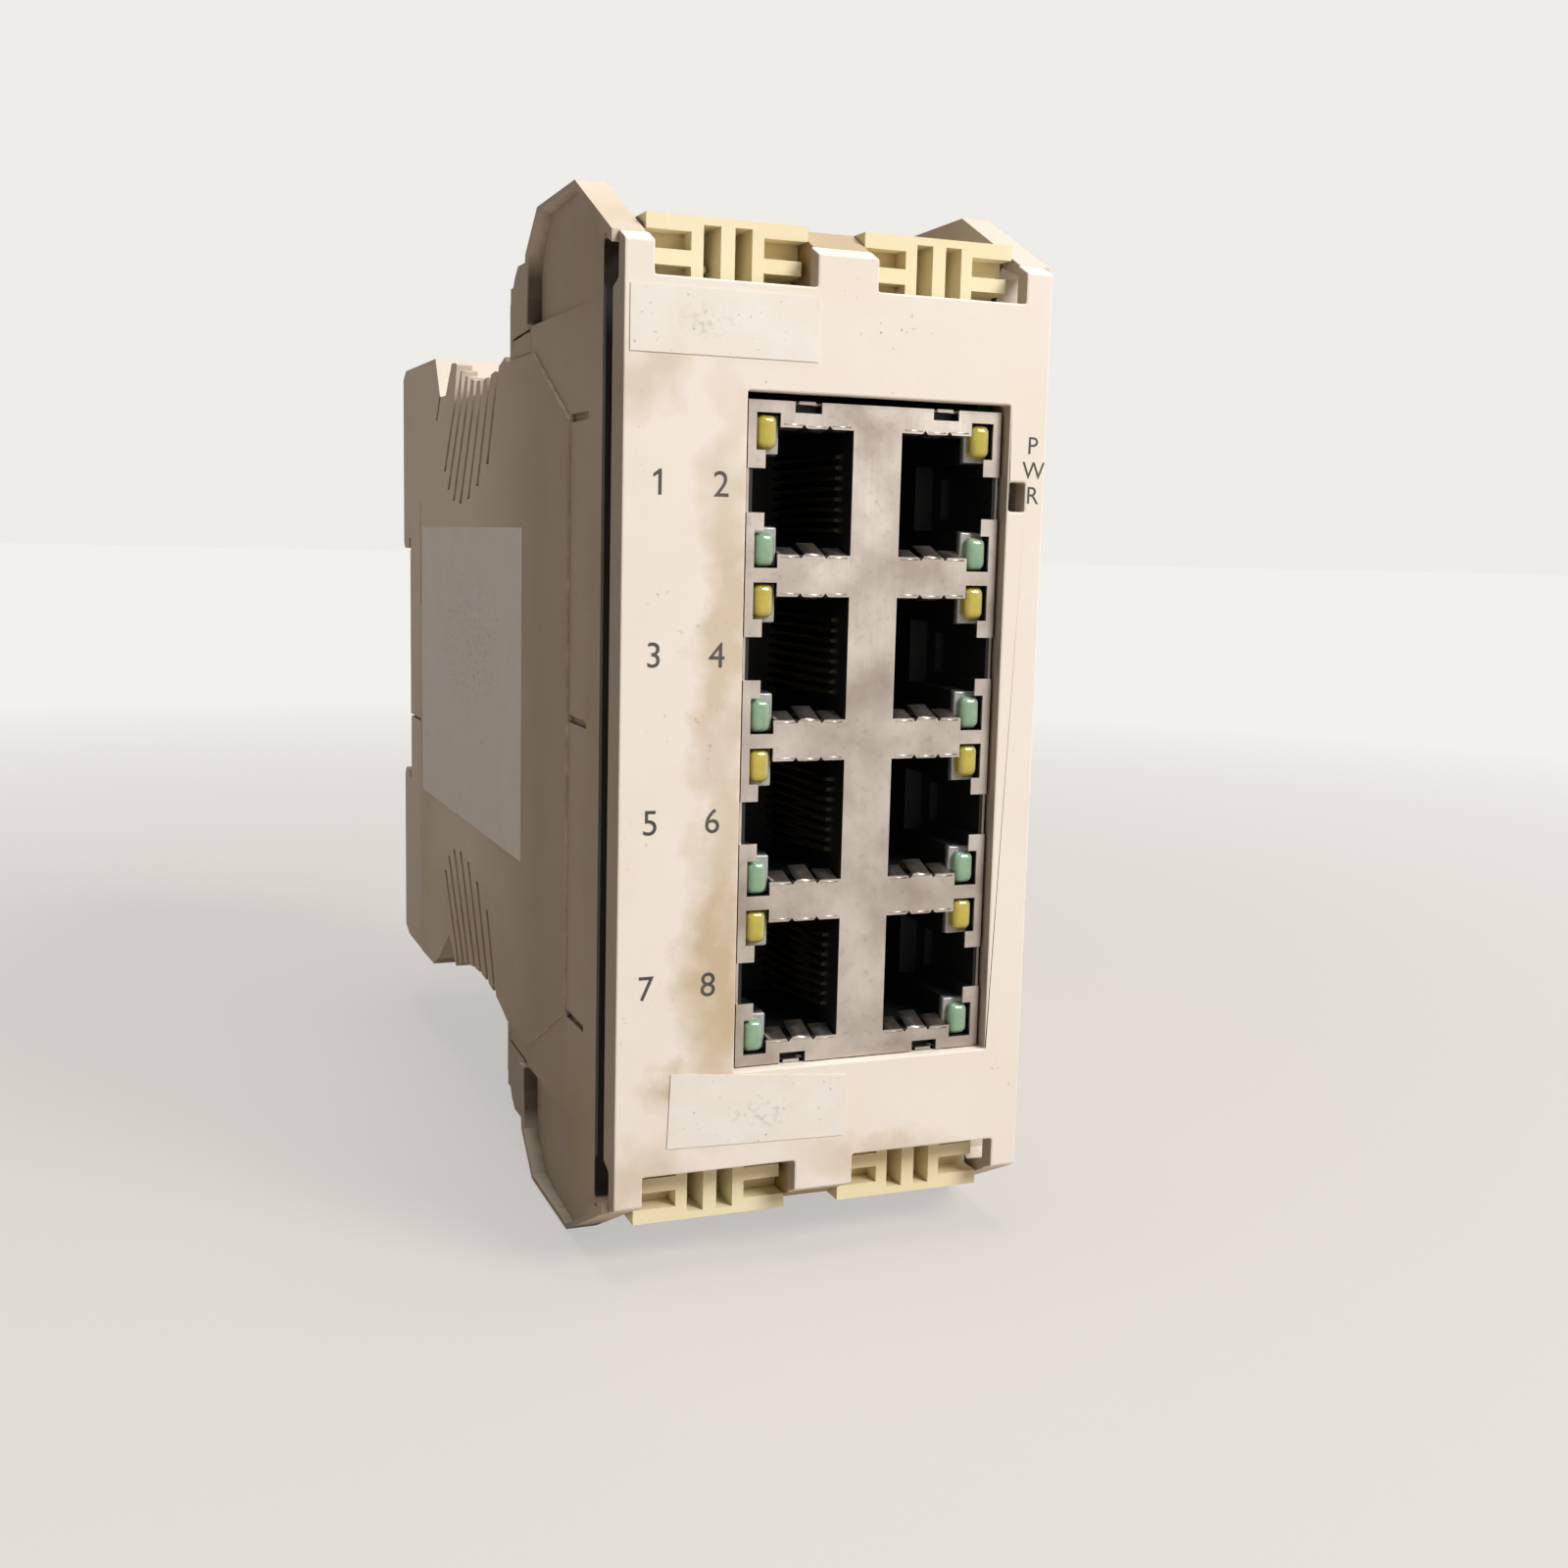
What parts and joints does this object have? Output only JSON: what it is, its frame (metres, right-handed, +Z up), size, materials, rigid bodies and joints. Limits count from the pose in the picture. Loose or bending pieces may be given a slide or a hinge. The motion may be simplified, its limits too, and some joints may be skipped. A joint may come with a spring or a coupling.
{
  "type": "din rail ethernet switch",
  "caption": "Slim rail mounted network switch with two columns of sockets in a modular housing, filler plugs at its terminal tiers and a sprung rail latch.",
  "frame": {"origin": "middle of the flat seat that rests on the front of the mounting rail, between the two hooks", "axes": "+X across the module to its right seen from the front, +Y from the front face towards the rail, +Z up along the column of sockets"},
  "size_m": [0.045, 0.1123, 0.1054],
  "materials": {
    "face_plastic": "fine grained moulding, aged and stained",
    "housing_plastic": "fine grained moulding, aged",
    "filler_plastic": "yellowed moulding",
    "tinned_sheet": "satin tinned sheet",
    "black_plastic": "black moulding",
    "contact_metal": "plated wire",
    "yellow_lens": "milky yellow",
    "green_lens": "milky green",
    "clear_lens": "milky light guide",
    "board": "solder mask over glass fibre",
    "chip_plastic": "moulded package",
    "can_metal": "drawn can",
    "fuse_body": "ceramic coloured body",
    "terminal_plastic": "moulded terminal block",
    "screw_steel": "plated screws",
    "label_paper": "white label",
    "side_label_paper": "blank silver grey label",
    "spring_steel": "spring wire"
  },
  "bodies": {
    "switch": {"front_plate": "face_plastic", "front_hood": "housing_plastic", "rear_housing": "housing_plastic", "filler_plug_top_left": "filler_plastic", "filler_plug_top_right": "filler_plastic", "filler_plug_bottom_left": "filler_plastic", "filler_plug_bottom_right": "filler_plastic", "port_shield": "tinned_sheet", "port_insulator": "black_plastic", "link_header": "black_plastic", "link_socket": "black_plastic", "port_1_contacts": "contact_metal", "port_2_contacts": "contact_metal", "port_3_contacts": "contact_metal", "port_4_contacts": "contact_metal", "port_5_contacts": "contact_metal", "port_6_contacts": "contact_metal", "port_7_contacts": "contact_metal", "port_8_contacts": "contact_metal", "yellow_lamp_1": "yellow_lens", "yellow_lamp_2": "yellow_lens", "yellow_lamp_3": "yellow_lens", "yellow_lamp_4": "yellow_lens", "yellow_lamp_5": "yellow_lens", "yellow_lamp_6": "yellow_lens", "yellow_lamp_7": "yellow_lens", "yellow_lamp_8": "yellow_lens", "green_lamp_1": "green_lens", "green_lamp_2": "green_lens", "green_lamp_3": "green_lens", "green_lamp_4": "green_lens", "green_lamp_5": "green_lens", "green_lamp_6": "green_lens", "green_lamp_7": "green_lens", "green_lamp_8": "green_lens", "power_lamp": "clear_lens", "main_board": "board", "power_board": "board", "switch_chip": "chip_plastic", "magnetics_1": "chip_plastic", "magnetics_2": "chip_plastic", "magnetics_3": "chip_plastic", "magnetics_4": "chip_plastic", "config_memory": "chip_plastic", "logic_regulator": "chip_plastic", "bridge_rectifier": "chip_plastic", "power_transformer": "chip_plastic", "input_choke": "chip_plastic", "crystal": "can_metal", "input_capacitor": "can_metal", "output_capacitor": "can_metal", "input_fuse": "fuse_body", "power_terminal": "terminal_plastic", "terminal_screws": "screw_steel", "label_upper": "label_paper", "label_lower": "label_paper", "label_side": "side_label_paper", "latch_spring": "spring_steel"},
    "latch": {"rail_latch": "housing_plastic"}
  },
  "joints": [
    {"name": "latch_slide", "type": "slide", "parent": "switch", "child": "latch", "axis": [0, 0, -1], "range_m": [0, 0.0035], "stiffness_N_per_m": 2100, "springref_m": -0.0012, "deforming": ["latch_spring"]}
  ]
}
